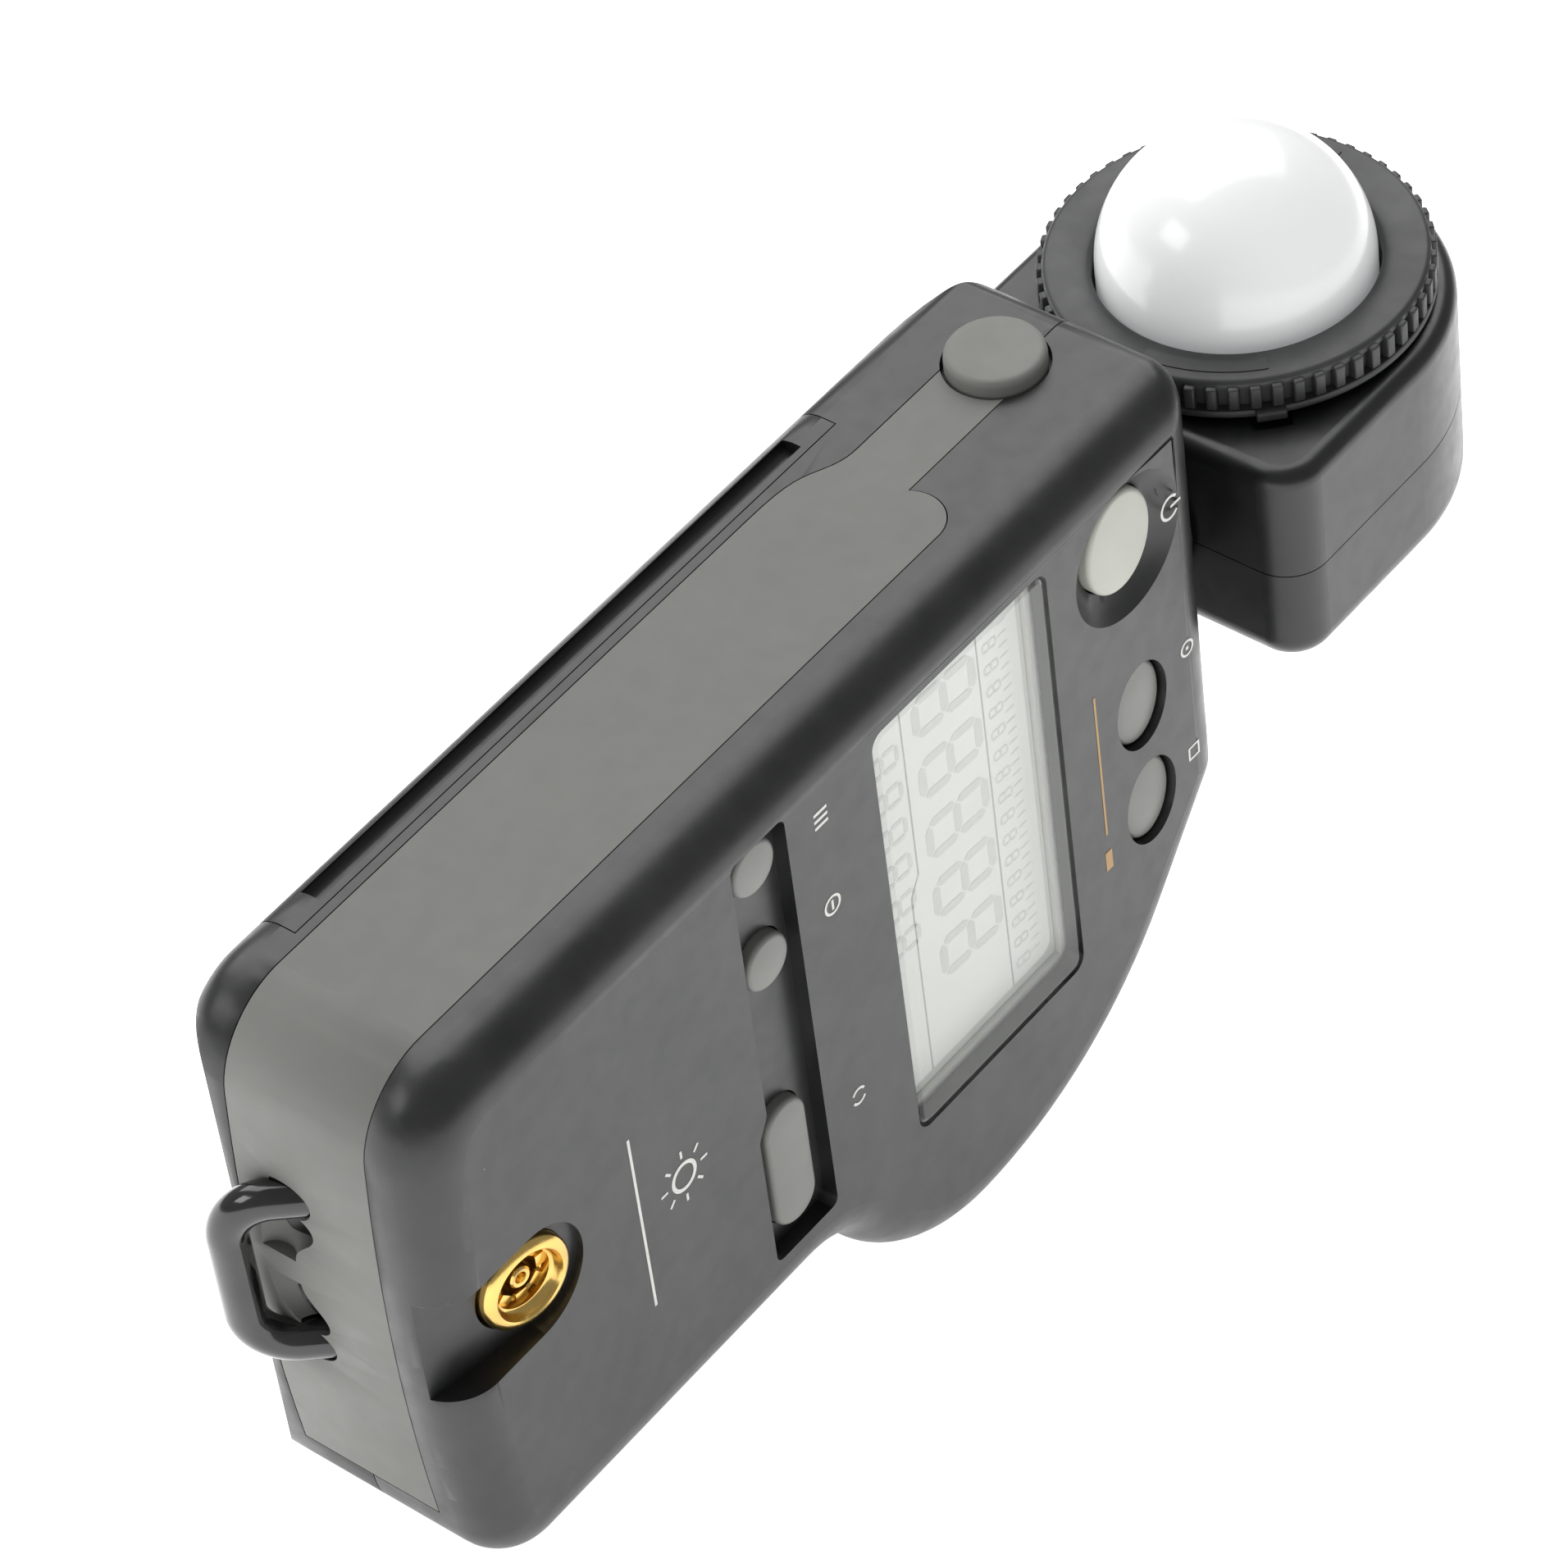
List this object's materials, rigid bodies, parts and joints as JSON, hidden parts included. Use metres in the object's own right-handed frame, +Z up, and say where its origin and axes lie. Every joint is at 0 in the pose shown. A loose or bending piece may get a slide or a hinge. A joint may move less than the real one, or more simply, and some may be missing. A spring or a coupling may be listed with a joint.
{
  "type": "handheld light meter",
  "caption": "Handheld exposure meter with a turning head, domed diffuser on a toothed bayonet ring, display, push keys and a strap loop.",
  "frame": {"origin": "bottom centre of the bounding box, on the surface the meter lies on", "axes": "+X from the battery end towards the head, +Y from the display side towards the back, +Z up; the meter lies on its right side, leaning so that the swell and the grip corner touch the surface"},
  "size_m": [0.161, 0.0412, 0.0914],
  "materials": {
    "shell": "fine satin texture",
    "head_shell": "semi-matte",
    "strip": "soft touch, matte",
    "strip_key": "satin",
    "key_light": "satin",
    "key_grey": "satin",
    "key_dark": "satin",
    "ring_plastic": "matte",
    "opal": "opal, glossy",
    "window": "clear moulded lens",
    "liquid_crystal": "grey-green panel",
    "white_plastic": "matte",
    "contact_rubber": "layered elastomer",
    "board": "solder mask",
    "switch_black": "moulded",
    "gold": "polished gold plate",
    "eyelet_black": "gloss",
    "bearing": "acetal",
    "collar": "black anodised",
    "spring_steel": "nickel plated",
    "screw_steel": "black zinc",
    "cell_can": "wrapped can",
    "filter_glass": "tinted correction filter",
    "silicon": "polished wafer"
  },
  "bodies": {
    "housing": {"front_shell": "shell", "rear_cover": "shell", "side_strip": "strip", "display_window": "window", "display_panel": "liquid_crystal", "display_frame": "white_plastic", "display_strip_lower": "contact_rubber", "display_strip_upper": "contact_rubber", "main_board": "board", "power_switch": "switch_black", "ambient_switch": "switch_black", "memory_switch": "switch_black", "iso_switch": "switch_black", "value_switch": "switch_black", "mode_switch": "switch_black", "measuring_switch": "switch_black", "sync_barrel": "gold", "sync_insulator": "white_plastic", "sync_contact": "gold", "strap_eyelet": "eyelet_black", "neck_bearing": "bearing", "detent_spring": "spring_steel", "battery_contact_lower": "spring_steel", "battery_contact_upper": "spring_steel", "battery_spring": "spring_steel", "battery_cell": "cell_can", "body_screw_1": "screw_steel", "body_screw_2": "screw_steel", "body_screw_3": "screw_steel", "body_screw_4": "screw_steel", "body_screw_5": "screw_steel"},
    "battery_lid": {"battery_door": "shell"},
    "head": {"head_front_shell": "head_shell", "head_rear_shell": "head_shell", "neck_shaft": "collar", "bayonet_seat": "ring_plastic", "sensor_filter": "filter_glass", "sensor_cell": "silicon", "head_board": "board", "head_screw_1": "screw_steel", "head_screw_2": "screw_steel", "head_screw_3": "screw_steel", "head_screw_4": "screw_steel"},
    "diffuser": {"diffuser_ring": "ring_plastic", "diffuser_dome": "opal"},
    "measuring_key": {"measuring_button": "strip_key"},
    "adjust_key": {"adjust_rocker": "key_dark"},
    "power_key": {"power_button": "key_light"},
    "ambient_key": {"ambient_button": "key_grey"},
    "memory_key": {"memory_button": "key_grey"},
    "iso_key": {"iso_button": "key_grey"},
    "value_key": {"value_button": "key_grey"},
    "mode_key": {"mode_button": "key_grey"}
  },
  "joints": [
    {"name": "head_turn", "type": "hinge", "parent": "housing", "child": "head", "pos_m": [0.03627, 0, 0.05767], "axis": [0.9727, 0, 0.2319], "range_deg": [-90, 180]},
    {"name": "diffuser_turn", "type": "hinge", "parent": "head", "child": "diffuser", "pos_m": [0.0548, 0, 0.07699], "axis": [-0.2319, 0, 0.9727], "range_deg": [0, 30]},
    {"name": "battery_lid_hinge", "type": "hinge", "parent": "housing", "child": "battery_lid", "pos_m": [-0.02662, 0.013, 0.04895], "axis": [-0.9727, 0, -0.2319], "range_deg": [0, 90]},
    {"name": "measuring_press", "type": "slide", "parent": "housing", "child": "measuring_key", "axis": [0.2319, 0, -0.9727], "range_m": [0, 0.0008], "stiffness_N_per_m": 900},
    {"name": "adjust_rock", "type": "hinge", "parent": "housing", "child": "adjust_key", "pos_m": [0.01699, -0.0002, 0.00732], "axis": [0, -1, 0], "range_deg": [-4, 4], "stiffness_Nm_per_rad": 0.05},
    {"name": "power_press", "type": "slide", "parent": "housing", "child": "power_key", "axis": [0, 1, 0], "range_m": [0, 0.0006], "stiffness_N_per_m": 900},
    {"name": "ambient_press", "type": "slide", "parent": "housing", "child": "ambient_key", "axis": [0, 1, 0], "range_m": [0, 0.0006], "stiffness_N_per_m": 900},
    {"name": "memory_press", "type": "slide", "parent": "housing", "child": "memory_key", "axis": [0, 1, 0], "range_m": [0, 0.0006], "stiffness_N_per_m": 900},
    {"name": "iso_press", "type": "slide", "parent": "housing", "child": "iso_key", "axis": [0, 1, 0], "range_m": [0, 0.0006], "stiffness_N_per_m": 900},
    {"name": "value_press", "type": "slide", "parent": "housing", "child": "value_key", "axis": [0, 1, 0], "range_m": [0, 0.0006], "stiffness_N_per_m": 900},
    {"name": "mode_press", "type": "slide", "parent": "housing", "child": "mode_key", "axis": [0, 1, 0], "range_m": [0, 0.0006], "stiffness_N_per_m": 900}
  ]
}
